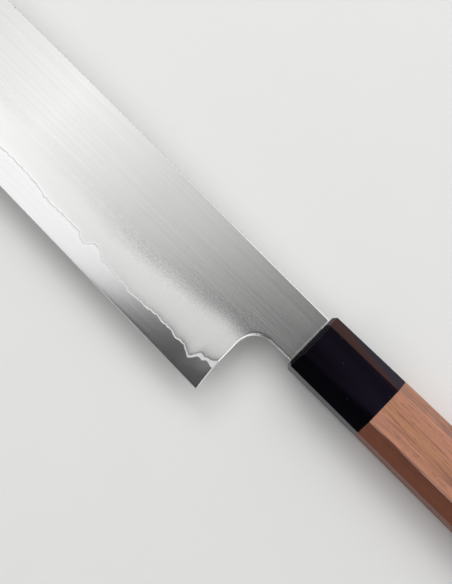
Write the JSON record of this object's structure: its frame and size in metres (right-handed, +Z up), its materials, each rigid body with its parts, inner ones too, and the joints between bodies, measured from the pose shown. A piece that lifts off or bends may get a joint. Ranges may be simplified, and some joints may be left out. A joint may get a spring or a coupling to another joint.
{
  "type": "kiritsuke kitchen knife",
  "caption": "Laminated kitchen knife with a clipped point, a tall straight blade, a notched heel and a tapered octagonal handle with a dark ferrule.",
  "frame": {"origin": "on the resting surface, under the middle of the whole knife's bounding box", "axes": "+X along the handle towards the butt, +Y from the cutting edge towards the spine, +Z up, square to the blade's middle plane, towards its left face"},
  "size_m": [0.3634, 0.0526, 0.0208],
  "materials": {
    "core_steel": "finely polished core steel, darker than the cladding",
    "bond_steel": "bright polished bond layer",
    "cladding_steel": "satin, ground lengthwise",
    "horn": "polished black horn with a brown streak",
    "walnut": "oiled walnut, grain along the handle",
    "dowel_wood": "bare hardwood",
    "adhesive": "cured resin",
    "seal": "dark wax and resin bead"
  },
  "bodies": {
    "root": {"core_steel": "core_steel", "left_bond_layer": "bond_steel", "right_bond_layer": "bond_steel", "left_cladding": "cladding_steel", "right_cladding": "cladding_steel", "ferrule": "horn", "handle_body": "walnut", "dowel": "dowel_wood", "tang_adhesive": "adhesive", "slot_seal": "seal"}
  },
  "joints": []
}
